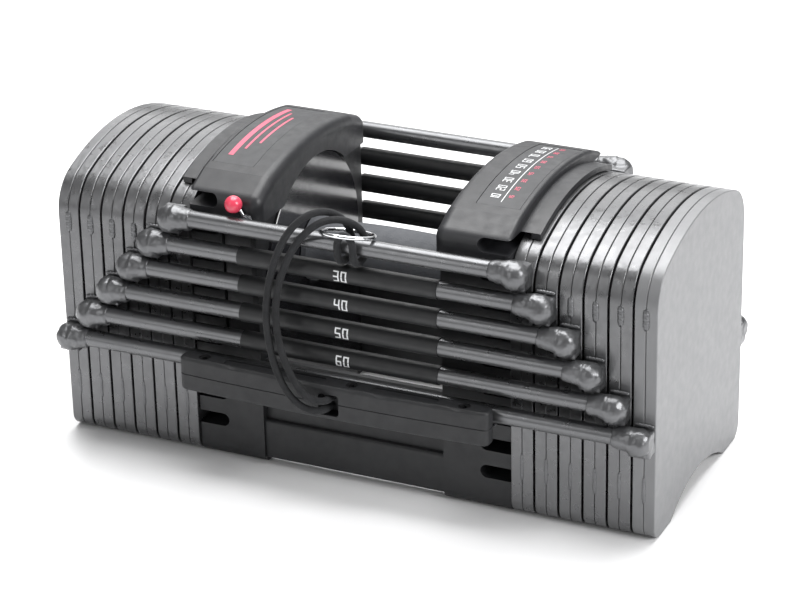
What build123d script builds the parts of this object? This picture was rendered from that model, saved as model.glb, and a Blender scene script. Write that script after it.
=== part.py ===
"""Nested-block adjustable dumbbell, about 70 lb, built as its real pieces.

Frame: millimetres, +Z up, origin at the centre of the base, on the floor.
X runs along the grip, Y across it (the selector pin is drawn out towards -Y).
"""
import math
import os

from build123d import *

os.makedirs("parts", exist_ok=True)

# ------------------------------------------------------------ dimensions (mm)
WEIGHTS = 6             # nested weights, 1 innermost

PLATE_T = 6.25          # one steel lamination
SEAM = 0.10             # gap between the two laminations of a pair
PAIR_T = 2 * PLATE_T + SEAM
PAIR_PITCH = 13.7       # from one weight's plates to the next
X_IN = 94.0             # inner face of weight 1's plates
HALF_D = 67.5           # half depth of every plate
PLATE_H = 164.0         # top of the plate arch
CROWN_R = 139.0
SHOULDER_R = 23.0
FOOT_R = 9.0
RECESS_HALF = 42.0      # half width of the arched recess between the feet
RECESS_H = 12.0
PLATE_EDGE = 0.6

RAIL_D = 9.5            # 3/8 in rod
RAIL_Y = 76.0
RAIL_Z1 = 146.0         # height of weight 1's rails
RAIL_PITCH = 16.5
SLEEVE_D = 10.5
SLEEVE_HALF = 58.0
LUG_IN = 8.0            # how far a lug runs in along its rail
LUG_FRONT = 81.6
LUG_DROP = 11.2
LUG_RISE = 4.9

BLOCK_X0 = 54.0         # inner face of an end block
BLOCK_X1 = 93.4
BLOCK_HALF_D = 65.5
BLOCK_TOP = 143.7
ARCH_R = 56.0
ARCH_Z = 102.5
INNER_PLATE_T = 2.0

SLOT_H = 7.7            # selector slots, one per load
SLOT_X0 = 75.5
SLOTS = 9
SLOT_Z1 = RAIL_Z1 + RAIL_PITCH / 2

GRIP_Z = 105.0
GRIP_TUBE_R = 14.0
GRIP_R = 17.0

COVER_X0 = 50.5
COVER_HALF_D = 67.0
COVER_Z0 = 144.0
COVER_TOP = 172.0
COVER_SHOULDER = (50.0, 165.5)
FLANGE_X1 = 104.5
FLANGE_GAP = 0.7
FLANGE_T = 3.0
LABEL_X0, LABEL_X1 = 65.0, 90.0
LABEL_HALF = 44.0
LABEL_DEPTH = 0.9

ADDER_X0, ADDER_X1 = 57.2, 74.2
ADDER_Z0, ADDER_Z1 = 74.0, 140.0
ADDER_HALF_D = 64.0

PRONG_R = 3.175         # 1/4 in rod
PRONG_X = 84.0
PRONG_Z = RAIL_Z1 - RAIL_PITCH * 5.5
PRONG_END = 93.5
BAR_HALF = 91.0
BAR_FRONT = 93.5        # at the middle; the bar is bowed
BAR_FRONT_END = 91.0
BAR_BACK = 81.3
BAR_Z0, BAR_Z1 = 50.5, 70.5
BAR_SPLIT = 60.5
BAR_SCREWS = (-77.0, 11.0, 76.0)

LEVER_X = 57.5          # pivot of the adder-weight lock lever
LEVER_Z = 147.5
LEVER_Y = 69.1
WIRE_R = 1.0
STUD_R = 1.5
KNOB_R = 4.8

RING_R = 14.5
RING_WIRE = 1.1
RING_TILT = -17.0
CORD_D = 4.0


def pair_x(k):
    """Inner face of the plates of weight k."""
    return X_IN + PAIR_PITCH * (k - 1)


def rail_z(k):
    return RAIL_Z1 - RAIL_PITCH * (k - 1)


def slot_z(n):
    return SLOT_Z1 - RAIL_PITCH * (n - 1)


def save(builder, name):
    builder.part.label = name
    export_step(builder.part, f"parts/{name}.step")


def plate_curve(grow=0.0):
    """Outline points of a plate above its sides, grown outwards by grow."""
    hd, rc, rs = HALF_D + grow, CROWN_R + grow, SHOULDER_R + grow
    cz = PLATE_H - CROWN_R
    ys = HALF_D - SHOULDER_R
    zs = cz + math.sqrt((CROWN_R - SHOULDER_R) ** 2 - ys ** 2)
    f = rc / (CROWN_R - SHOULDER_R)
    ty, tz = ys * f, cz + (zs - cz) * f
    a = math.atan2(zs - cz, ys) / 2
    my, mz = ys + rs * math.cos(a), zs + rs * math.sin(a)
    return hd, zs, (my, mz), (ty, tz), PLATE_H + grow


def plate_sketch_lines():
    """Full closed outline of a plate: arched top, two feet and a recess."""
    hd, zs, (my, mz), (ty, tz), top = plate_curve()
    c = FOOT_R * (1 - math.sqrt(0.5))
    Line((RECESS_HALF, 0), (hd - FOOT_R, 0))
    ThreePointArc((hd - FOOT_R, 0), (hd - c, c), (hd, FOOT_R))
    Line((hd, FOOT_R), (hd, zs))
    ThreePointArc((hd, zs), (my, mz), (ty, tz))
    ThreePointArc((ty, tz), (0, top), (-ty, tz))
    ThreePointArc((-ty, tz), (-my, mz), (-hd, zs))
    Line((-hd, zs), (-hd, FOOT_R))
    ThreePointArc((-hd, FOOT_R), (-hd + c, c), (-hd + FOOT_R, 0))
    Line((-hd + FOOT_R, 0), (-RECESS_HALF, 0))
    ThreePointArc((-RECESS_HALF, 0), (0, RECESS_H), (RECESS_HALF, 0))


# ------------------------------------------------------------ the six weights
def lamination(x0):
    """One steel plate whose lower-X face is at x0, edges broken all round."""
    with BuildPart() as plate:
        with BuildSketch(Plane.YZ.offset(x0)):
            with BuildLine():
                plate_sketch_lines()
            make_face()
        extrude(amount=PLATE_T)
        ends = plate.faces().sort_by(Axis.X)
        fillet(ends[0].edges() + ends[-1].edges(), radius=PLATE_EDGE)
    return plate.part


def lug(side, front, k):
    """Welded knuckle at one end of a rail, joining it to its pair of plates.

    side is +1 or -1 along X, front is -1 (towards -Y) or +1.
    """
    x, z = pair_x(k), rail_z(k)
    y_out, y_in = LUG_FRONT, HALF_D
    with BuildPart() as knuckle:
        with BuildSketch(Plane.XZ.offset(y_in)):
            with Locations((x + PAIR_T / 2, z + (LUG_RISE - LUG_DROP) / 2)):
                Rectangle(PAIR_T, LUG_RISE + LUG_DROP)
        extrude(amount=y_out - y_in)
        fillet(knuckle.faces().sort_by(Axis.Y)[0].edges(), radius=2.6)
        with BuildSketch(Plane.XZ.offset(71.2)):
            with BuildLine():
                Polyline(
                    (x - LUG_IN, z + 3.6), (x - LUG_IN, z - 3.6), (x - 1.4, z - LUG_DROP),
                    (x + 3.0, z - LUG_DROP), (x + 3.0, z + LUG_RISE), (x - 2.0, z + LUG_RISE),
                    close=True,
                )
            make_face()
        extrude(amount=9.4)
        with BuildSketch(Plane.YZ.offset(x - LUG_IN - 1.0)):
            with Locations((-RAIL_Y, z)):
                Circle(RAIL_D / 2 + 0.01)
        extrude(amount=LUG_IN + 5.0, mode=Mode.SUBTRACT)
    solid = knuckle.part
    if side < 0:
        solid = mirror(solid, about=Plane.YZ)
    if front > 0:
        solid = mirror(solid, about=Plane.XZ)
    return solid


for k in range(1, WEIGHTS + 1):
    x, z = pair_x(k), rail_z(k)

    with BuildPart() as plates_right:
        add(lamination(x))
        add(lamination(x + PLATE_T + SEAM))
    save(plates_right, f"weight_{k}_plates_right")

    with BuildPart() as plates_left:
        add(lamination(-x - PLATE_T))
        add(lamination(-x - PAIR_T))
    save(plates_left, f"weight_{k}_plates_left")

    for name, y in (("front", -RAIL_Y), ("back", RAIL_Y)):
        with BuildPart() as rail:
            with BuildSketch(Plane.YZ.offset(-(x + 4.0))):
                with Locations((y, z)):
                    Circle(RAIL_D / 2)
            extrude(amount=2 * (x + 4.0))
        save(rail, f"weight_{k}_{name}_rail")

    with BuildPart() as lugs:
        for side in (1, -1):
            for front in (-1, 1):
                add(lug(side, front, k))
    save(lugs, f"weight_{k}_rail_lugs")

    if 2 <= k <= 5:
        with BuildPart() as sleeves:
            with BuildSketch(Plane.YZ.offset(-SLEEVE_HALF)):
                with Locations((-RAIL_Y, z), (RAIL_Y, z)):
                    Circle(SLEEVE_D / 2)
                    Circle(RAIL_D / 2 + 0.01, mode=Mode.SUBTRACT)
            extrude(amount=2 * SLEEVE_HALF)
        save(sleeves, f"weight_{k}_load_sleeves")


# ------------------------------------------------------------ handle core
def turned(solid):
    """The right-hand copy of a left-hand core part: half a turn about Z."""
    return Rot(0, 0, 180) * solid


def slot_cutters():
    """Stadium channels, open on the side that faces the plates."""
    with BuildPart() as cut:
        with BuildSketch(Plane.XZ.offset(-BLOCK_HALF_D - 20)):
            for n in range(1, SLOTS + 1):
                z = slot_z(n)
                with Locations((-(SLOT_X0 + SLOT_H / 2), z)):
                    Circle(SLOT_H / 2)
                with Locations((-(SLOT_X0 + SLOT_H / 2 + 10), z)):
                    Rectangle(20, SLOT_H)
        extrude(amount=2 * BLOCK_HALF_D + 40)
    return cut.part


slots = slot_cutters()

with BuildPart() as end_block:
    with BuildSketch(Plane.YZ.offset(-BLOCK_X1)):
        with BuildLine():
            hw = math.sqrt(ARCH_R ** 2 - (BLOCK_TOP - ARCH_Z) ** 2)
            r = 6.0
            c = r * (1 - math.sqrt(0.5))
            b = BLOCK_HALF_D
            Line((-b + r, 0), (b - r, 0))
            ThreePointArc((b - r, 0), (b - c, c), (b, r))
            Line((b, r), (b, BLOCK_TOP))
            Line((b, BLOCK_TOP), (hw, BLOCK_TOP))
            ThreePointArc((hw, BLOCK_TOP), (0, ARCH_Z + ARCH_R), (-hw, BLOCK_TOP))
            Line((-hw, BLOCK_TOP), (-b, BLOCK_TOP))
            Line((-b, BLOCK_TOP), (-b, r))
            ThreePointArc((-b, r), (-b + c, c), (-b + r, 0))
        make_face()
    extrude(amount=BLOCK_X1 - BLOCK_X0)
    add(slots, mode=Mode.SUBTRACT)
    with BuildSketch(Plane.XZ.offset(BLOCK_HALF_D + 1)):
        with Locations((-(ADDER_X0 + ADDER_X1) / 2, (ADDER_Z0 + ADDER_Z1) / 2)):
            Rectangle(ADDER_X1 - ADDER_X0 + 0.4, ADDER_Z1 - ADDER_Z0 + 0.4)
    extrude(amount=-(BLOCK_HALF_D + 1 + ADDER_HALF_D + 0.1), mode=Mode.SUBTRACT)
save(end_block, "end_block_left")
with BuildPart() as end_block_right:
    add(turned(end_block.part))
save(end_block_right, "end_block_right")

with BuildPart() as adder:
    with BuildSketch(Plane.XZ.offset(ADDER_HALF_D)):
        with Locations((-(ADDER_X0 + ADDER_X1) / 2, (ADDER_Z0 + ADDER_Z1) / 2)):
            RectangleRounded(ADDER_X1 - ADDER_X0, ADDER_Z1 - ADDER_Z0, 2.0)
    extrude(amount=-2 * ADDER_HALF_D)
    chamfer(adder.faces().sort_by(Axis.Y)[0].edges(), length=0.8)
save(adder, "adder_weight_left")
with BuildPart() as adder_right:
    add(turned(adder.part))
save(adder_right, "adder_weight_right")

with BuildPart() as inner_plate:
    with BuildSketch(Plane.YZ.offset(-BLOCK_X0)):
        with BuildLine():
            Line((-ARCH_R + 8, 4), (ARCH_R - 8, 4))
            ThreePointArc((ARCH_R - 8, 4), (ARCH_R - 2.343, 6.343), (ARCH_R, 12))
            Line((ARCH_R, 12), (ARCH_R, ARCH_Z))
            ThreePointArc((ARCH_R, ARCH_Z), (0, ARCH_Z + ARCH_R), (-ARCH_R, ARCH_Z))
            Line((-ARCH_R, ARCH_Z), (-ARCH_R, 12))
            ThreePointArc((-ARCH_R, 12), (-ARCH_R + 2.343, 6.343), (-ARCH_R + 8, 4))
        make_face()
    extrude(amount=INNER_PLATE_T)
    chamfer(inner_plate.faces().sort_by(Axis.X)[-1].edges(), length=0.4)
save(inner_plate, "inner_plate_left")
with BuildPart() as inner_plate_right:
    add(turned(inner_plate.part))
save(inner_plate_right, "inner_plate_right")

GRIP_HALF = BLOCK_X0 - INNER_PLATE_T
with BuildPart() as grip_tube:
    with BuildSketch(Plane.YZ.offset(-GRIP_HALF)):
        with Locations((0, GRIP_Z)):
            Circle(GRIP_TUBE_R)
            Circle(GRIP_TUBE_R - 2.5, mode=Mode.SUBTRACT)
    extrude(amount=2 * GRIP_HALF)
save(grip_tube, "grip_tube")

with BuildPart() as grip_sleeve:
    with BuildSketch(Plane.XZ):
        with BuildLine():
            h = GRIP_HALF - 0.5
            r0 = GRIP_Z + GRIP_TUBE_R + 0.02
            Polyline((-h, GRIP_Z + 19.0), (-h, r0), (h, r0), (h, GRIP_Z + 19.0))
            Line((h, GRIP_Z + 19.0), (h - 3.0, GRIP_Z + 19.0))
            ThreePointArc((h - 3.0, GRIP_Z + 19.0), (h - 7.0, GRIP_Z + 17.0), (h - 13.0, GRIP_Z + 16.4))
            ThreePointArc((h - 13.0, GRIP_Z + 16.4), (0, GRIP_Z + 17.6), (-h + 13.0, GRIP_Z + 16.4))
            ThreePointArc((-h + 13.0, GRIP_Z + 16.4), (-h + 7.0, GRIP_Z + 17.0), (-h + 3.0, GRIP_Z + 19.0))
            Line((-h + 3.0, GRIP_Z + 19.0), (-h, GRIP_Z + 19.0))
        make_face()
    revolve(axis=Axis((0, 0, GRIP_Z), (1, 0, 0)))
save(grip_sleeve, "grip_sleeve")

with BuildPart() as spreader:
    with BuildSketch(Plane.YZ.offset(-BLOCK_X0)):
        with BuildLine():
            Polyline((-64, 3), (-57.5, 3), (-57.5, 62), (-60.5, 62), (-60.5, 26), (-64, 26), close=True)
        make_face()
    extrude(amount=2 * BLOCK_X0)
    fillet(spreader.edges().filter_by(Axis.X).sort_by(Axis.Y)[0:2], radius=1.6)
save(spreader, "front_spreader")
with BuildPart() as back_spreader:
    add(turned(spreader.part))
save(back_spreader, "back_spreader")

# ------------------------------------------------------------ top covers
SH_Y, SH_Z = COVER_SHOULDER
CROWN_COVER_R = (SH_Y ** 2 + (COVER_TOP - SH_Z) ** 2) / (2 * (COVER_TOP - SH_Z))
CROWN_COVER_Z = COVER_TOP - CROWN_COVER_R


def crown_point(y):
    return (y, CROWN_COVER_Z + math.sqrt(CROWN_COVER_R ** 2 - y * y))


with BuildPart() as cover:
    # body: cheeks front and back, crowned top
    with BuildSketch(Plane.YZ.offset(-BLOCK_X1)) as body_sk:
        with BuildLine():
            d = COVER_HALF_D
            Line((-d, COVER_Z0), (d, COVER_Z0))
            Line((d, COVER_Z0), (d, 158.0))
            Line((d, 158.0), (SH_Y, SH_Z))
            ThreePointArc((SH_Y, SH_Z), (0, COVER_TOP), (-SH_Y, SH_Z))
            Line((-SH_Y, SH_Z), (-d, 158.0))
            Line((-d, 158.0), (-d, COVER_Z0))
        make_face()
        fillet(body_sk.vertices().filter_by_position(Axis.Y, 157.9, 158.1), radius=7.0)
    extrude(amount=BLOCK_X1 - COVER_X0)
    rim = [
        e for e in cover.faces().sort_by(Axis.X)[-1].edges()
        if e.center().Z > COVER_Z0 + 0.5
    ]
    fillet(rim, radius=6.0)
    rim = [
        e for e in cover.faces().sort_by(Axis.X)[0].edges()
        if e.center().Z > COVER_Z0 + 0.5
    ]
    fillet(rim, radius=2.4)
    # flange over the top of the first pair of plates
    hd, zs, (my, mz), (ty, tz), top = plate_curve(FLANGE_GAP + FLANGE_T)
    with BuildSketch(Plane.YZ.offset(-FLANGE_X1)) as flange_sk:
        with BuildLine():
            fy = 51.0
            cz = PLATE_H - CROWN_R
            ro, ri = CROWN_R + FLANGE_GAP + FLANGE_T, CROWN_R + FLANGE_GAP
            zo, zi = cz + math.sqrt(ro ** 2 - fy ** 2), cz + math.sqrt(ri ** 2 - fy ** 2)
            ThreePointArc((-fy, zo), (0, cz + ro), (fy, zo))
            Line((fy, zo), (fy, zi))
            ThreePointArc((fy, zi), (0, cz + ri), (-fy, zi))
            Line((-fy, zi), (-fy, zo))
        make_face()
    extrude(amount=FLANGE_X1 - BLOCK_X1 + 4.0)
    # seat on the arch of the end block and the inner plate
    with BuildSketch(Plane.YZ.offset(-BLOCK_X1 - 0.001)):
        with Locations((0, ARCH_Z)):
            Circle(ARCH_R + 0.3)
    extrude(amount=BLOCK_X1 - COVER_X0 + 1.0, mode=Mode.SUBTRACT)
    add(slots, mode=Mode.SUBTRACT)
    # recess for the label
    with BuildSketch(Plane.YZ.offset(-LABEL_X1)):
        with Locations((0, COVER_TOP - 5)):
            Rectangle(2 * LABEL_HALF, 30)
        with Locations((0, CROWN_COVER_Z)):
            Circle(CROWN_COVER_R - LABEL_DEPTH, mode=Mode.SUBTRACT)
    extrude(amount=LABEL_X1 - LABEL_X0, mode=Mode.SUBTRACT)
with BuildPart() as cover_right:
    add(turned(cover.part))
save(cover_right, "top_cover_right")
with BuildPart() as cover_left:
    add(cover.part)
    # hole for the lever stud
    with BuildSketch(Plane.XZ.offset(COVER_HALF_D + 1)):
        with Locations((-LEVER_X, LEVER_Z)):
            Circle(STUD_R + 0.01)
    extrude(amount=-8.0, mode=Mode.SUBTRACT)
save(cover_left, "top_cover_left")

with BuildPart() as label:
    with BuildSketch(Plane.YZ.offset(-LABEL_X1 + 0.3)):
        with BuildLine():
            yl = LABEL_HALF - 0.3
            ro, ri = CROWN_COVER_R - 0.15, CROWN_COVER_R - LABEL_DEPTH + 0.03
            zo = CROWN_COVER_Z + math.sqrt(ro ** 2 - yl ** 2)
            zi = CROWN_COVER_Z + math.sqrt(ri ** 2 - yl ** 2)
            ThreePointArc((-yl, zo), (0, CROWN_COVER_Z + ro), (yl, zo))
            Line((yl, zo), (yl, zi))
            ThreePointArc((yl, zi), (0, CROWN_COVER_Z + ri), (-yl, zi))
            Line((-yl, zi), (-yl, zo))
        make_face()
    extrude(amount=LABEL_X1 - LABEL_X0 - 0.6)
save(label, "stripe_label_left")
with BuildPart() as scale_label:
    add(turned(label.part))
save(scale_label, "load_scale_right")

# ------------------------------------------------------------ lock lever
EYE_R = 3.2
KNOB = (-(LEVER_X + 5.5), -(LEVER_Y + 3.1), LEVER_Z + 9.3)


def wire(p, q):
    """Straight round wire from p to q."""
    a, b = Vector(*p), Vector(*q)
    with BuildPart() as w:
        with BuildSketch(Plane(origin=a, z_dir=b - a)):
            Circle(WIRE_R)
        extrude(amount=(b - a).length)
    return w.part


with BuildPart() as lever:
    with BuildSketch(Plane.XZ.offset(LEVER_Y - WIRE_R)):
        with Locations((-LEVER_X, LEVER_Z)):
            Circle(EYE_R)
    extrude(amount=2 * WIRE_R)
    add(wire((-LEVER_X - 1.2, -LEVER_Y, LEVER_Z + 1.5), (KNOB[0] + 0.4, -LEVER_Y, KNOB[2] - 0.5)))
    add(wire((-LEVER_X - 1.4, -LEVER_Y, LEVER_Z - 1.3), (-LEVER_X - 8.5, -LEVER_Y, LEVER_Z - 8.0)))
    with BuildSketch(Plane.XZ.offset(LEVER_Y + 3)):
        with Locations((-LEVER_X, LEVER_Z)):
            Circle(STUD_R + 0.05)
    extrude(amount=-6.0, mode=Mode.SUBTRACT)
save(lever, "lock_lever_left")

with BuildPart() as knob:
    with Locations(KNOB):
        Sphere(KNOB_R)
    add(lever.part, mode=Mode.SUBTRACT)
save(knob, "lock_knob_left")

with BuildPart() as stud:
    with BuildSketch(Plane.XZ.offset(COVER_HALF_D - 7.0)):
        with Locations((-LEVER_X, LEVER_Z)):
            Circle(STUD_R)
    extrude(amount=7.0 + 3.3)
    with BuildSketch(Plane.XZ.offset(COVER_HALF_D + 3.3)):
        with Locations((-LEVER_X, LEVER_Z)):
            Circle(2.5)
    extrude(amount=0.5)
save(stud, "lever_pivot_screw")


# ------------------------------------------------------------ selector pin
def bar_outline(inset=0.0):
    """Plan of the bowed bar."""
    h, f, m, b = BAR_HALF - inset, BAR_FRONT_END - inset, BAR_FRONT - inset, BAR_BACK + inset
    Line((-h, -b), (h, -b))
    Line((h, -b), (h, -f))
    ThreePointArc((h, -f), (0, -m), (-h, -f))
    Line((-h, -f), (-h, -b))


with BuildPart() as bar_lower:
    with BuildSketch(Plane.XY.offset(BAR_Z0)) as sk:
        with BuildLine():
            bar_outline()
        make_face()
        fillet(sk.vertices(), radius=3.5)
    extrude(amount=BAR_SPLIT - BAR_Z0)
    fillet(bar_lower.faces().sort_by(Axis.Z)[0].edges(), radius=2.2)
    chamfer(bar_lower.faces().sort_by(Axis.Z)[-1].edges(), length=0.35)
    with BuildSketch(Plane.XZ.offset(BAR_BACK - 1)):
        with Locations((-PRONG_X, PRONG_Z), (PRONG_X, PRONG_Z)):
            Circle(PRONG_R + 0.02)
    extrude(amount=9.7, mode=Mode.SUBTRACT)
    with BuildSketch(Plane.XY.offset(BAR_SPLIT + 1)):
        with Locations(*[(x, -86.6) for x in BAR_SCREWS]):
            Circle(1.62)
    extrude(amount=-8.0, mode=Mode.SUBTRACT)
    with BuildSketch(Plane.XZ.offset(86.5)):
        with Locations((0, 59.5)):
            RectangleRounded(12.0, 12.4, 2.0)
    extrude(amount=10.0, mode=Mode.SUBTRACT)
save(bar_lower, "selector_bar_lower")

with BuildPart() as bar_upper:
    with BuildSketch(Plane.XY.offset(BAR_SPLIT)) as sk:
        with BuildLine():
            bar_outline()
        make_face()
        fillet(sk.vertices(), radius=3.5)
    extrude(amount=BAR_Z1 - BAR_SPLIT)
    fillet(bar_upper.faces().sort_by(Axis.Z)[-1].edges(), radius=1.8)
    chamfer(bar_upper.faces().sort_by(Axis.Z)[0].edges(), length=0.35)
    with BuildSketch(Plane.XY.offset(BAR_Z1 + 1)):
        with Locations((-34.5, -86.9)):
            RectangleRounded(60.0, 5.6, 2.0)
        with Locations((42.0, -86.9)):
            RectangleRounded(38.0, 5.6, 2.0)
    extrude(amount=-2.0, mode=Mode.SUBTRACT)
    with BuildSketch(Plane.XY.offset(BAR_Z1 + 1)):
        with Locations(*[(x, -86.6) for x in BAR_SCREWS]):
            Circle(3.3)
    extrude(amount=-4.6, mode=Mode.SUBTRACT)
    with BuildSketch(Plane.XY.offset(BAR_Z1)):
        with Locations(*[(x, -86.6) for x in BAR_SCREWS]):
            Circle(1.65)
    extrude(amount=-12.0, mode=Mode.SUBTRACT)
    with BuildSketch(Plane.XZ.offset(86.5)):
        with Locations((0, 59.5)):
            RectangleRounded(12.0, 12.4, 2.0)
    extrude(amount=10.0, mode=Mode.SUBTRACT)
save(bar_upper, "selector_bar_upper")

with BuildPart() as bar_screws:
    with BuildSketch(Plane.XY.offset(BAR_Z1 - 3.6)):
        with Locations(*[(x, -86.6) for x in BAR_SCREWS]):
            Circle(3.1)
    extrude(amount=3.1)
    with BuildSketch(Plane.XY.offset(BAR_Z1 - 0.5)):
        with Locations(*[(x, -86.6) for x in BAR_SCREWS]):
            RegularPolygon(1.6, 6)
    extrude(amount=-1.8, mode=Mode.SUBTRACT)
    with BuildSketch(Plane.XY.offset(BAR_Z1 - 3.6)):
        with Locations(*[(x, -86.6) for x in BAR_SCREWS]):
            Circle(1.6)
    extrude(amount=-13.0)
save(bar_screws, "selector_bar_screws")

for name, sx in (("left", -1), ("right", 1)):
    with BuildPart() as prong:
        with BuildSketch(Plane.XZ.offset(90.0)):
            with Locations((sx * PRONG_X, PRONG_Z)):
                Circle(PRONG_R)
        extrude(amount=-(90.0 + PRONG_END))
        chamfer(prong.faces().sort_by(Axis.Y)[-1].edges(), length=1.4)
    save(prong, f"selector_prong_{name}")

# ------------------------------------------------------------ tether
RING_C = (6.0, -RAIL_Y, RAIL_Z1 + RAIL_D / 2 + RING_WIRE + 0.65)
with BuildPart() as ring:
    with Locations(Location(RING_C, (RING_TILT, 0, 0))):
        Torus(RING_R, RING_WIRE)
save(ring, "tether_ring")

CORD_OUT = [  # outer strand, from the hole in the bar up, over and round the top rail
    (-1.0, -86.5, 56.6), (-1.0, -97.0, 56.6), (-12.0, -100.8, 58.8), (-22.0, -100.0, 67.0),
    (-29.0, -98.0, 80.0), (-33.0, -96.0, 94.0), (-34.6, -94.4, 108.0), (-33.6, -92.6, 122.0),
    (-30.6, -90.8, 136.0), (-25.6, -88.8, 149.0), (-19.0, -86.0, 159.0), (-10.5, -80.5, 164.4),
    (-2.5, -73.5, 162.5), (3.5, -67.2, 153.0), (4.5, -66.8, 137.5), (3.5, -84.0, 137.5),
    (3.5, -84.0, 155.0),
]
CORD_BACK = [  # inner strand, back down beside the first
    (12.5, -84.0, 155.0), (12.5, -84.0, 137.5), (12.5, -66.8, 137.5), (11.5, -67.2, 151.5),
    (4.0, -73.8, 159.6), (-5.5, -80.6, 160.4), (-13.6, -85.6, 154.4), (-20.2, -88.0, 145.0),
    (-25.2, -90.0, 134.0), (-28.4, -91.8, 122.0), (-29.4, -93.6, 109.0), (-27.8, -95.2, 96.0),
    (-23.6, -97.0, 83.5), (-17.0, -99.0, 72.5), (-9.5, -100.4, 65.2), (0.5, -97.2, 62.4),
    (0.5, -86.5, 62.4),
]
CORD = CORD_OUT + CORD_BACK


def corner_radii(points):
    """0.45 of the shorter run over the tangent of half the turn, per corner."""
    radii = []
    for a, b, c in zip(points, points[1:], points[2:]):
        u, v = Vector(*b) - Vector(*a), Vector(*c) - Vector(*b)
        turn = math.radians(u.get_angle(v))
        radii.append(0.45 * min(u.length, v.length) / math.tan(turn / 2))
    return radii


radii = corner_radii(CORD)
with BuildPart() as cord:
    with BuildLine() as route:
        FilletPolyline(*CORD, radius=radii)
    with BuildSketch(Plane(origin=CORD[0], z_dir=Vector(*CORD[1]) - Vector(*CORD[0]))):
        Circle(CORD_D / 2)
    sweep(path=route.wires()[0])
save(cord, "tether_cord")
length = route.wires()[0].length
print("cord radii", [round(r, 1) for r in radii])
print("cord length", round(length, 1), "volume", round(cord.part.volume, 1),
      "section x length", round(math.pi * CORD_D ** 2 / 4 * length, 1))
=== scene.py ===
import math

import bmesh
import bpy
from mathutils import Matrix, Vector


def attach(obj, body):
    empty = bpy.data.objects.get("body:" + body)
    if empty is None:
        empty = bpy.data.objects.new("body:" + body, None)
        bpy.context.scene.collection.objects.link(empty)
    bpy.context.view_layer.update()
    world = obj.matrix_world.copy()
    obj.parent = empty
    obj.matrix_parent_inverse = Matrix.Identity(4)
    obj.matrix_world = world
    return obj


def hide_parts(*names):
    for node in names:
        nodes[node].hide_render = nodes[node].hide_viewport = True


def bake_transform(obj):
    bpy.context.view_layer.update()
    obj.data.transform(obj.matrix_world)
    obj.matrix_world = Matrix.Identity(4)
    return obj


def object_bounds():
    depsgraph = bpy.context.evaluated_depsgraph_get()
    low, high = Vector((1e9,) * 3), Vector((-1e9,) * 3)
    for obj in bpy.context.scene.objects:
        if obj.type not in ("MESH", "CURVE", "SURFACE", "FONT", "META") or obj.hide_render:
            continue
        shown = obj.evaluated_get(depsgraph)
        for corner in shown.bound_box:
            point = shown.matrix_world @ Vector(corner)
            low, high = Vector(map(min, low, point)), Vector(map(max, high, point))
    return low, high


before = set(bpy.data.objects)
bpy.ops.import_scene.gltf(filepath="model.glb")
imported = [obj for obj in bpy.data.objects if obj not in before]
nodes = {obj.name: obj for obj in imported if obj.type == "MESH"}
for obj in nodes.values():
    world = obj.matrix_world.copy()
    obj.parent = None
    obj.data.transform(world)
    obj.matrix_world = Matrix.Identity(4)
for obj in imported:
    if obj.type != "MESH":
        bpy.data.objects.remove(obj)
cad_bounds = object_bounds()
ROOT, PIN = "dumbbell", "selector_pin"
MM = 0.001


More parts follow.
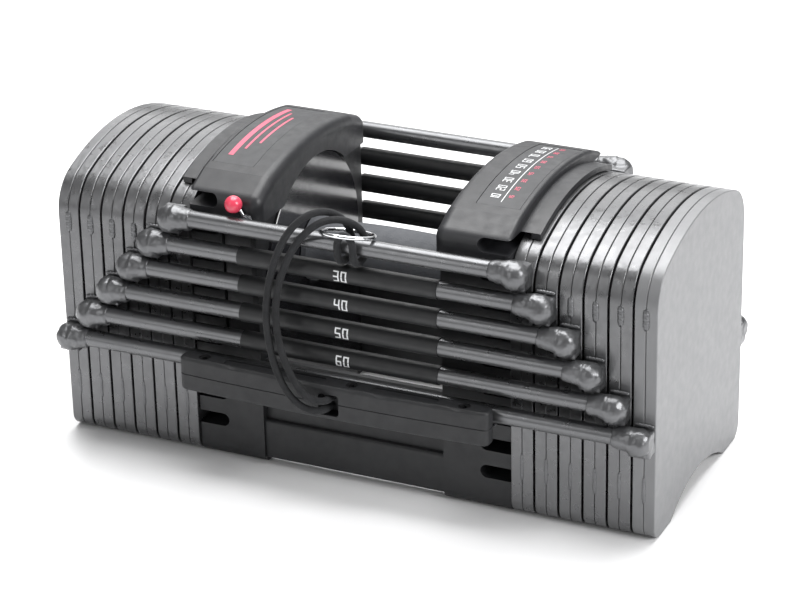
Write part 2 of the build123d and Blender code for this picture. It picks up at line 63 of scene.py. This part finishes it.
# ------------------------------------------------------------------ materials
def material(name, color, metallic, rough, grain=900.0, bump=0.05, depth=0.00005,
             rough_amp=0.10, tone=0.10, stretch=(1, 1, 1), coat=0.0, ior=1.5, sheen=0.0,
             cells=False, wear=0.0):
    """Procedural finish: grain bump, drifting roughness and a slow change of tone."""
    m = bpy.data.materials.new(name)
    m.use_nodes = True
    nt = m.node_tree
    nt.nodes.clear()
    out = nt.nodes.new("ShaderNodeOutputMaterial")
    b = nt.nodes.new("ShaderNodeBsdfPrincipled")
    nt.links.new(b.outputs[0], out.inputs[0])
    b.inputs["Metallic"].default_value = metallic
    b.inputs["IOR"].default_value = ior
    b.inputs["Coat Weight"].default_value = coat
    b.inputs["Coat Roughness"].default_value = 0.2
    b.inputs["Sheen Weight"].default_value = sheen
    tc = nt.nodes.new("ShaderNodeTexCoord")
    mp = nt.nodes.new("ShaderNodeMapping")
    mp.inputs["Scale"].default_value = stretch
    nt.links.new(tc.outputs["Object"], mp.inputs["Vector"])

    def noise(scale, detail=3.0):
        n = nt.nodes.new("ShaderNodeTexNoise")
        n.inputs["Scale"].default_value = scale
        n.inputs["Detail"].default_value = detail
        nt.links.new(mp.outputs[0], n.inputs["Vector"])
        return n

    slow = noise(28.0, 4.0)
    mid = noise(190.0, 4.0)
    rr = nt.nodes.new("ShaderNodeMapRange")
    rr.inputs["From Min"].default_value = 0.3
    rr.inputs["From Max"].default_value = 0.7
    rr.inputs["To Min"].default_value = max(0.04, rough - rough_amp)
    rr.inputs["To Max"].default_value = min(1.0, rough + rough_amp)
    nt.links.new(mid.outputs["Fac"], rr.inputs["Value"])
    nt.links.new(rr.outputs[0], b.inputs["Roughness"])
    ramp = nt.nodes.new("ShaderNodeValToRGB")
    lo = [c * (1 - tone) for c in color] + [1]
    hi = [min(1, c * (1 + tone)) for c in color] + [1]
    ramp.color_ramp.elements[0].position = 0.34
    ramp.color_ramp.elements[0].color = lo
    ramp.color_ramp.elements[1].position = 0.66
    ramp.color_ramp.elements[1].color = hi
    nt.links.new(slow.outputs["Fac"], ramp.inputs["Fac"])
    col = ramp.outputs["Color"]
    if wear:
        sc = noise(1300.0, 2.0)
        th = nt.nodes.new("ShaderNodeMapRange")
        th.inputs["From Min"].default_value = 0.68
        th.inputs["From Max"].default_value = 0.76
        th.inputs["To Max"].default_value = wear
        nt.links.new(sc.outputs["Fac"], th.inputs["Value"])
        mx = nt.nodes.new("ShaderNodeMix")
        mx.data_type = "RGBA"
        nt.links.new(th.outputs[0], mx.inputs["Factor"])
        nt.links.new(col, mx.inputs["A"])
        mx.inputs["B"].default_value = [min(1, c * 1.9 + 0.02) for c in color] + [1]
        col = mx.outputs["Result"]
    nt.links.new(col, b.inputs["Base Color"])
    if cells:
        g = nt.nodes.new("ShaderNodeTexVoronoi")
        g.feature = "SMOOTH_F1"
        g.inputs["Scale"].default_value = grain
        nt.links.new(mp.outputs[0], g.inputs["Vector"])
        height = g.outputs["Distance"]
    else:
        height = noise(grain, 3.0).outputs["Fac"]
    bp = nt.nodes.new("ShaderNodeBump")
    bp.inputs["Strength"].default_value = bump
    bp.inputs["Distance"].default_value = depth
    nt.links.new(height, bp.inputs["Height"])
    nt.links.new(bp.outputs[0], b.inputs["Normal"])
    return m


M = {
    "plate": material("weight paint", (0.150, 0.151, 0.155), 0.78, 0.33, 420, 0.35, 0.00022, 0.10, 0.08, cells=True, coat=0.2),
    # Outer right plate of weight 6: a lighter copy of the weight paint, also less metallic and rougher; its lighter
    # colour is painted light for the face turned to the key lamp.
    "plate_painted_light_face": material("outer plate with painted light", (0.195, 0.197, 0.202), 0.45, 0.46, 620, 0.14, 0.00012, 0.05, 0.02, cells=True, coat=0.2),
    "rail": material("rail paint", (0.140, 0.142, 0.147), 0.8, 0.30, 260, 0.05, 0.00008, 0.04, 0.04, coat=0.3),
    "lug": material("lug paint", (0.140, 0.142, 0.147), 0.75, 0.38, 300, 0.35, 0.0003, 0.08, 0.10, cells=True, coat=0.25),
    "sleeve": material("sleeve shrink", (0.010, 0.0105, 0.0115), 0.0, 0.50, 700, 0.15, 0.0001, 0.08, 0.15),
    "block": material("block plastic", (0.014, 0.0145, 0.016), 0.0, 0.52, 1500, 0.3, 0.00008, 0.08, 0.15),
    "cover": material("cover plastic", (0.020, 0.0205, 0.023), 0.0, 0.44, 1700, 0.30, 0.0001, 0.07, 0.10),
    "label": material("label film", (0.028, 0.029, 0.032), 0.0, 0.46, 900, 0.05, 0.00005, 0.06, 0.08),
    "gloss": material("gloss plate", (0.010, 0.010, 0.012), 0.0, 0.14, 120, 0.04, 0.00008, 0.04, 0.2, coat=0.6),
    "steel": material("satin steel", (0.56, 0.57, 0.59), 1.0, 0.27, 900, 0.15, 0.00005, 0.08, 0.05, stretch=(1, 0.06, 1), wear=0.1),
    "adder": material("plain steel", (0.030, 0.030, 0.032), 0.2, 0.50, 500, 0.2, 0.0001, 0.10, 0.12),
    "bright": material("bright ring", (0.80, 0.81, 0.83), 1.0, 0.12, 700, 0.06, 0.00004, 0.05, 0.03),
    "grip": material("grip rubber", (0.075, 0.079, 0.088), 0.0, 0.72, 1100, 0.6, 0.00025, 0.08, 0.12, cells=True, sheen=0.15),
    "knob": material("knob red", (0.72, 0.055, 0.105), 0.0, 0.26, 500, 0.06, 0.00006, 0.05, 0.05, coat=0.4),
    "bar": material("bar plastic", (0.013, 0.0135, 0.015), 0.0, 0.56, 1600, 0.32, 0.00009, 0.07, 0.10),
    "screw": material("black oxide", (0.035, 0.035, 0.037), 0.7, 0.35, 900, 0.2, 0.00006, 0.1, 0.1, wear=0.3),
    "cord": material("braided cord", (0.010, 0.0105, 0.012), 0.0, 0.85, 1500, 0.8, 0.0003, 0.08, 0.25, cells=True, sheen=0.03),
    "white": material("print white", (0.78, 0.79, 0.80), 0.0, 0.45, 1500, 0.05, 0.00003, 0.05, 0.04),
    "red": material("print red", (0.62, 0.10, 0.16), 0.0, 0.45, 1500, 0.05, 0.00003, 0.05, 0.04),
}


def node_material(name):
    # The outer right plate takes the lighter paint copy, which is painted light on its key-lit face.
    if name.startswith("weight_6_plates_right"):
        return "plate_painted_light_face"
    for key, value in (
        ("_plates_", "plate"), ("_rail_lugs", "lug"), ("_load_sleeves", "sleeve"),
        ("_rail", "rail"), ("end_block", "block"), ("top_cover", "cover"),
        ("stripe_label", "label"), ("load_scale", "label"), ("inner_plate", "gloss"),
        ("grip_tube", "steel"), ("grip_sleeve", "grip"), ("spreader", "block"),
        ("adder_weight", "adder"), ("lock_lever", "steel"), ("lock_knob", "knob"),
        ("lever_pivot", "steel"), ("selector_bar_screws", "screw"), ("selector_bar", "bar"),
        ("selector_prong", "steel"), ("tether_ring", "bright"), ("tether_cord", "cord"),
    ):
        if key in name:
            return value
    return "block"


for name, ob in nodes.items():
    ob.data.materials.clear()
    ob.data.materials.append(M[node_material(name)])


def add_mesh(name, verts, faces, mat, smooth=True):
    me = bpy.data.meshes.new(name)
    me.from_pydata([[c * MM for c in v] for v in verts], [], faces)
    me.validate()
    me.update()
    if smooth:
        for p in me.polygons:
            p.use_smooth = True
    me.materials.append(M[mat])
    ob = bpy.data.objects.new(name, me)
    bpy.context.scene.collection.objects.link(ob)
    return ob


# ------------------------------------------------------------------ printed numbers
SEGS = {  # seven-segment strokes: a top, b/c right, d bottom, e/f left, g middle
    "0": "abcdef", "1": "bc", "2": "abged", "3": "abgcd", "4": "fgbc",
    "5": "afgcd", "6": "afgedc", "7": "abc", "8": "abcdefg", "9": "abfgcd",
}


def strokes(text, h, w, gap, t):
    """Rectangles (u0, v0, u1, v1), centred on the origin, that draw the digits."""
    total = len(text) * w + (len(text) - 1) * gap
    boxes = []
    for i, ch in enumerate(text):
        u = -total / 2 + i * (w + gap)
        lo, hi, mid, e = -h / 2, h / 2, 0.0, 0.12 * t
        box = {
            "a": (u + e, hi - t, u + w - e, hi), "d": (u + e, lo, u + w - e, lo + t),
            "g": (u + e, mid - t / 2, u + w - e, mid + t / 2),
            "f": (u, mid + e, u + t, hi - e), "b": (u + w - t, mid + e, u + w, hi - e),
            "e": (u, lo + e, u + t, mid - e), "c": (u + w - t, lo + e, u + w, mid - e),
        }
        boxes += [box[s] for s in SEGS[ch]]
    return boxes


def printed(name, boxes, place, mat, body=ROOT, thick=0.06):
    """Thin raised print: each stroke is a closed patch laid on a curved face by place(u, v, lift)."""
    verts, faces = [], []
    for u0, v0, u1, v1 in boxes:
        nu = max(1, int(abs(u1 - u0) / 0.8))
        nv = max(1, int(abs(v1 - v0) / 0.8))
        base = len(verts)
        for lift in (-0.03, thick):
            for j in range(nv + 1):
                for i in range(nu + 1):
                    verts.append(place(u0 + (u1 - u0) * i / nu, v0 + (v1 - v0) * j / nv, lift))
        n = (nu + 1) * (nv + 1)

        def at(i, j, k):
            return base + k * n + j * (nu + 1) + i

        for j in range(nv):
            for i in range(nu):
                faces.append((at(i, j, 1), at(i + 1, j, 1), at(i + 1, j + 1, 1), at(i, j + 1, 1)))
                faces.append((at(i, j, 0), at(i, j + 1, 0), at(i + 1, j + 1, 0), at(i + 1, j, 0)))
        for i in range(nu):
            faces.append((at(i, 0, 0), at(i + 1, 0, 0), at(i + 1, 0, 1), at(i, 0, 1)))
            faces.append((at(i, nv, 0), at(i, nv, 1), at(i + 1, nv, 1), at(i + 1, nv, 0)))
        for j in range(nv):
            faces.append((at(0, j, 0), at(0, j, 1), at(0, j + 1, 1), at(0, j + 1, 0)))
            faces.append((at(nu, j, 0), at(nu, j + 1, 0), at(nu, j + 1, 1), at(nu, j, 1)))
    ob = add_mesh(name, verts, faces, mat, smooth=False)
    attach(ob, body)
    return ob


RAIL_Y, SLEEVE_R = 76.0, 5.25
for k in range(2, 6):
    z = 146.0 - 16.5 * (k - 1)
    for side, tag in ((-1, "front"), (1, "back")):
        def place(u, v, lift, z=z, side=side):
            a = v / SLEEVE_R
            r = SLEEVE_R + lift
            return (-side * u + 3.0, side * (RAIL_Y + r * math.cos(a)), z + r * math.sin(a))

        printed(f"load_number_{tag}_{10 * (k + 1)}", strokes(str(10 * (k + 1)), 6.4, 3.3, 1.1, 0.8), place, "white")

COVER_R = (50.0 ** 2 + 6.5 ** 2) / (2 * 6.5)
LABEL_R = COVER_R - 0.15
COVER_CZ = 172.0 - COVER_R


def on_label(x0, y0):
    """Lays print on a label: it reads along the arch (u along Y), its top towards -X."""
    def place(u, v, lift):
        a = (y0 + u) / LABEL_R
        r = LABEL_R + lift
        return (x0 - v, r * math.sin(a), COVER_CZ + r * math.cos(a))
    return place


for i in range(9):
    y = -36.0 + 9.0 * i
    printed(f"scale_number_{10 * (i + 1)}", strokes(str(10 * (i + 1)), 5.0, 2.2, 0.7, 0.45), on_label(72.5, y), "white")
    printed(f"scale_half_step_{10 * (i + 1) + 5}", strokes(str(10 * (i + 1) + 5), 2.6, 1.5, 0.5, 0.38), on_label(81.0, y + 1.5), "red")
printed("scale_base_line", [(-40.0, -0.2, 40.0, 0.2)], on_label(77.6, 0.0), "white", thick=0.04)
for i, (half, width) in enumerate(((36.0, 3.0), (28.0, 1.3), (20.0, 1.3))):
    printed(f"cover_stripe_{i + 1}", [(-half, -width / 2, half, width / 2)], on_label(-83.0 + 5.0 * i, 0.0), "red")

# ------------------------------------------------------------------ weld beads on the seams
bead_v, bead_f = [], []


def bead(x, y, z, length, r):
    """Rippled weld bead along Z, half sunk in the plate edges."""
    steps, sides = 40, 12
    base = len(bead_v)
    for i in range(steps + 1):
        t = i / steps
        env = max(0.03, (1 - abs(2 * t - 1) ** 5)) ** 0.5
        rr = r * env * (0.84 + 0.16 * abs(math.sin(math.pi * t * 8)))
        for j in range(sides):
            a = 2 * math.pi * j / sides
            sag = 0.35 * math.sin(math.pi * t * 8 + 2 * math.cos(a))
            bead_v.append((x + 1.15 * rr * math.cos(a), y + 0.75 * rr * math.sin(a), z + (t - 0.5) * length + sag))
    for i in range(steps):
        for j in range(sides):
            a, b = base + i * sides + j, base + i * sides + (j + 1) % sides
            bead_f.append((a, b, b + sides, a + sides))
    bead_f.append(tuple(base + j for j in reversed(range(sides))))
    bead_f.append(tuple(base + steps * sides + j for j in range(sides)))


for k in range(1, 7):
    seam = 94.0 + 13.7 * (k - 1) + 6.3
    for sx in (-1, 1):
        for sy in (-1, 1):
            bead(sx * seam, sy * 67.4, 128.0 if k > 1 else 122.0, 12.0, 1.7)
            bead(sx * seam, sy * 67.4, 30.0, 16.0, 1.0)
beads = add_mesh("seam_weld_beads", bead_v, bead_f, "lug")
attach(beads, ROOT)

# ------------------------------------------------------------------ fillet welds where the lugs meet the plates
fil_v, fil_f = [], []


def fillet_weld(p, q, r, waves):
    """Rippled bead from p to q."""
    p, q = Vector(p), Vector(q)
    axis = (q - p).normalized()
    side = axis.orthogonal().normalized()
    up = axis.cross(side)
    steps, sides = 28, 10
    base = len(fil_v)
    for i in range(steps + 1):
        t = i / steps
        env = max(0.05, (1 - abs(2 * t - 1) ** 6)) ** 0.5
        rr = r * env * (0.82 + 0.18 * abs(math.sin(math.pi * t * waves)))
        c = p.lerp(q, t)
        for j in range(sides):
            a = 2 * math.pi * j / sides
            v = c + (side * math.cos(a) + up * math.sin(a)) * rr
            fil_v.append(tuple(v))
    for i in range(steps):
        for j in range(sides):
            a, b = base + i * sides + j, base + i * sides + (j + 1) % sides
            fil_f.append((a, b, b + sides, a + sides))
    fil_f.append(tuple(base + j for j in reversed(range(sides))))
    fil_f.append(tuple(base + steps * sides + j for j in range(sides)))


for k in range(1, 7):
    x0, z = 94.0 + 13.7 * (k - 1), 146.0 - 16.5 * (k - 1)
    for sx in (-1, 1):
        for sy in (-1, 1):
            if k > 1:
                fillet_weld((sx * (x0 + 0.8), sy * 67.9, z + 4.9), (sx * (x0 + 11.8), sy * 67.9, z + 4.9), 1.1, 6)
fillets = add_mesh("lug_fillet_welds", fil_v, fil_f, "lug")
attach(fillets, ROOT)


# ------------------------------------------------------------------ rounded knuckles
def lump(bm, kind, centre, size, axis=None):
    """One closed lump of weld metal, to be fused with its neighbours."""
    if kind == "box":
        m = Matrix.Translation(Vector(centre) * MM) @ Matrix.Diagonal((*[c * MM for c in size], 1))
        bmesh.ops.create_cube(bm, size=1.0, matrix=m)
    elif kind == "ball":
        m = Matrix.Translation(Vector(centre) * MM) @ Matrix.Diagonal((*[c * MM for c in size], 1))
        bmesh.ops.create_icosphere(bm, subdivisions=4, radius=1.0, matrix=m)
    else:
        r1, r2, length = size
        m = Matrix.Translation(Vector(centre) * MM) @ Matrix.Rotation(math.pi / 2, 4, "Y")
        bmesh.ops.create_cone(bm, cap_ends=True, segments=40, radius1=r1 * MM, radius2=r2 * MM,
                              depth=length * MM, matrix=m)


def knuckles(k):
    """The four knuckles of one weight: a rail collar, a ball end and a foot, welded into one."""
    x0, z = 94.0 + 13.7 * (k - 1), 146.0 - 16.5 * (k - 1)
    bm = bmesh.new()
    for sx in (-1, 1):
        for sy in (-1, 1):
            lump(bm, "box", (sx * (x0 + 6.3), sy * 71.0, z - 3.6), (11.8, 11.0, 13.4))
            lump(bm, "ball", (sx * (x0 + 5.9), sy * 75.2, z - 1.9), (7.6, 7.6, 7.9))
            r_in, r_out = (5.4, 7.0) if sx > 0 else (7.0, 5.4)
            lump(bm, "cone", (sx * (x0 - 2.0), sy * 76.0, z - 0.4), (r_in, r_out, 11.0))
            lump(bm, "ball", (sx * (x0 - 3.2), sy * 74.8, z - 3.4), (4.6, 3.8, 4.4))
    me = bpy.data.meshes.new(f"knuckle_source_{k}")
    bm.to_mesh(me)
    bm.free()
    ob = bpy.data.objects.new(f"weight_{k}_knuckles", me)
    bpy.context.scene.collection.objects.link(ob)
    rm = ob.modifiers.new("remesh", "REMESH")
    rm.mode = "VOXEL"
    rm.voxel_size = 0.0006
    sm = ob.modifiers.new("smooth", "SMOOTH")
    sm.factor = 0.7
    sm.iterations = 9
    tex = bpy.data.textures.new(f"knuckle_wave_{k}", "CLOUDS")
    tex.noise_scale = 0.005
    dp = ob.modifiers.new("wave", "DISPLACE")
    dp.texture = tex
    dp.texture_coords = "LOCAL"
    dp.strength = 0.0011
    dp.mid_level = 0.5
    bpy.context.view_layer.update()
    deps = bpy.context.evaluated_depsgraph_get()
    out = bpy.data.meshes.new_from_object(ob.evaluated_get(deps))
    ob.modifiers.clear()
    ob.data = out
    lo, hi = cad_bounds
    for v in out.vertices:
        v.co.x = min(max(v.co.x, lo[0] + 0.00005), hi[0] - 0.00005)
    for p in out.polygons:
        p.use_smooth = True
    out.materials.clear()
    out.materials.append(M["lug"])
    return ob


for k in range(1, 7):
    ob = knuckles(k)
    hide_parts(f"weight_{k}_rail_lugs")
    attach(ob, ROOT)


# ------------------------------------------------------------------ split ring
def curve(name, pts, radius, mat, order=4, cyclic=False):
    cu = bpy.data.curves.new(name, "CURVE")
    cu.dimensions = "3D"
    cu.bevel_depth = radius * MM
    cu.bevel_resolution = 5
    cu.use_fill_caps = True
    sp = cu.splines.new("NURBS")
    sp.points.add(len(pts) - 1)
    for p, c in zip(sp.points, pts):
        p.co = (c[0] * MM, c[1] * MM, c[2] * MM, 1)
    sp.order_u = order
    sp.use_endpoint_u = not cyclic
    sp.use_cyclic_u = cyclic
    sp.resolution_u = 10
    cu.materials.append(M[mat])
    ob = bpy.data.objects.new(name, cu)
    bpy.context.scene.collection.objects.link(ob)
    return ob


RING_C, RING_R, TILT = Vector((6.0, -76.0, 152.5)), 14.5, math.radians(-17.0)
ring_pts = []
for i in range(41):
    a = math.radians(206 + 349 * i / 40)
    r = RING_R - 0.15
    ring_pts.append(RING_C + Matrix.Rotation(TILT, 3, "X") @ Vector((r * math.cos(a), r * math.sin(a), 0)))
ring = curve("tether_split_ring", ring_pts, 1.1, "bright")
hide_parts("tether_ring")
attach(ring, ROOT)

# ------------------------------------------------------------------ tether cord
CORD = [
    (-1.0, -86.5, 56.6), (-1.0, -97.0, 56.6), (-12.0, -100.8, 58.8), (-22.0, -100.0, 67.0),
    (-29.0, -98.0, 80.0), (-33.0, -96.0, 94.0), (-34.6, -94.4, 108.0), (-33.6, -92.6, 122.0),
    (-30.6, -90.8, 136.0), (-25.6, -88.8, 149.0), (-19.0, -86.0, 159.0), (-10.5, -80.5, 164.4),
    (-2.5, -73.5, 162.5), (3.5, -67.2, 153.0), (4.5, -66.8, 137.5), (3.5, -84.0, 137.5),
    (3.5, -84.0, 155.0), (12.5, -84.0, 155.0), (12.5, -84.0, 137.5), (12.5, -66.8, 137.5),
    (11.5, -67.2, 151.5), (4.0, -73.8, 159.6), (-5.5, -80.6, 160.4), (-13.6, -85.6, 154.4),
    (-20.2, -88.0, 145.0), (-25.2, -90.0, 134.0), (-28.4, -91.8, 122.0), (-29.4, -93.6, 109.0),
    (-27.8, -95.2, 96.0), (-23.6, -97.0, 83.5), (-17.0, -99.0, 72.5), (-9.5, -100.4, 65.2),
    (0.5, -97.2, 62.4), (0.5, -86.5, 62.4),
]
CORD_D = 4.0
spine = curve("tether_spine", CORD, CORD_D / 2, "cord", order=3)
spine.data.splines[0].resolution_u = 12
bpy.context.view_layer.update()
deps = bpy.context.evaluated_depsgraph_get()
bare = spine.copy()
bare.data = spine.data.copy()
bare.data.bevel_depth = 0.0
bpy.context.scene.collection.objects.link(bare)
bpy.context.view_layer.update()
deps = bpy.context.evaluated_depsgraph_get()
line = bpy.data.meshes.new_from_object(bare.evaluated_get(deps))
path = []
for v in line.vertices:
    if not path or (Vector(path[-1]) - v.co).length > 0.0004:
        path.append(tuple(v.co))
tube = bpy.data.meshes.new_from_object(spine.evaluated_get(deps))
for p in tube.polygons:
    p.use_smooth = True
tube.materials.clear()
tube.materials.append(M["cord"])
bpy.data.objects.remove(bare)
bpy.data.objects.remove(spine)
cord = bpy.data.objects.new("tether_elastic_cord", tube)
bpy.context.scene.collection.objects.link(cord)
length = sum((Vector(a) - Vector(b)).length for a, b in zip(path, path[1:]))
print("cord length", round(length, 4))
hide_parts("tether_cord")
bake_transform(cord)
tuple(path[0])

# ------------------------------------------------------------------ floor, light, camera
floor_me = bpy.data.meshes.new("floor")
floor_me.from_pydata([(-6, -6, 0), (6, -6, 0), (6, 8, 0), (-6, 8, 0)], [], [(0, 1, 2, 3)])
floor = bpy.data.objects.new("floor", floor_me)
bpy.context.scene.collection.objects.link(floor)
fm = material("floor", (0.90, 0.90, 0.905), 0.0, 0.6, 40, 0.02, 0.0001, 0.05, 0.01)
floor_me.materials.append(fm)
floor.location.z = -0.0002

world = bpy.data.worlds.new("studio")
bpy.context.scene.world = world
world.use_nodes = True
bg = world.node_tree.nodes["Background"]
bg.inputs[0].default_value = (1, 1, 1, 1)
bg.inputs[1].default_value = 0.26


def area(name, loc, target, size, power, size_y=None):
    d = bpy.data.lights.new(name, "AREA")
    d.energy = power
    d.size = size
    if size_y:
        d.shape = "RECTANGLE"
        d.size_y = size_y
    o = bpy.data.objects.new(name, d)
    bpy.context.scene.collection.objects.link(o)
    o.location = loc
    o.rotation_euler = (Vector(target) - Vector(loc)).to_track_quat("-Z", "Y").to_euler()
    return o


area("key_right", (1.9, -0.3, 1.2), (0.1, 0, 0.08), 1.0, 33)
area("back_soft", (-0.9, 2.3, 1.35), (0, 0, 0.1), 2.4, 21, 1.4)
area("top_soft", (-0.1, 0.5, 2.0), (0, 0, 0), 1.8, 74)
area("front_strip", (-0.9, -1.9, 1.1), (0, 0, 0.08), 0.4, 6, 1.6)

cam_data = bpy.data.cameras.new("camera")
cam = bpy.data.objects.new("camera", cam_data)
bpy.context.scene.collection.objects.link(cam)
F, AZ, EL, ROLL = 3045.99, math.radians(25.2551), math.radians(24.847), math.radians(-1.3041)
back = Vector((math.sin(AZ) * math.cos(EL), -math.cos(AZ) * math.cos(EL), math.sin(EL)))
right = (-back).cross(Vector((0, 0, 1))).normalized()
up = right.cross(-back)
r = right * math.cos(ROLL) + up * math.sin(ROLL)
u = -right * math.sin(ROLL) + up * math.cos(ROLL)
rot = Matrix((r, u, back)).transposed().to_4x4()
cam.matrix_world = Matrix.Translation(Vector((0.65121, -1.38158, 0.78816))) @ rot
cam_data.sensor_width = 36.0
cam_data.lens = F / 800 * 36.0
cam_data.clip_end = 50
bpy.context.scene.camera = cam
bpy.context.scene.view_settings.view_transform = "Standard"
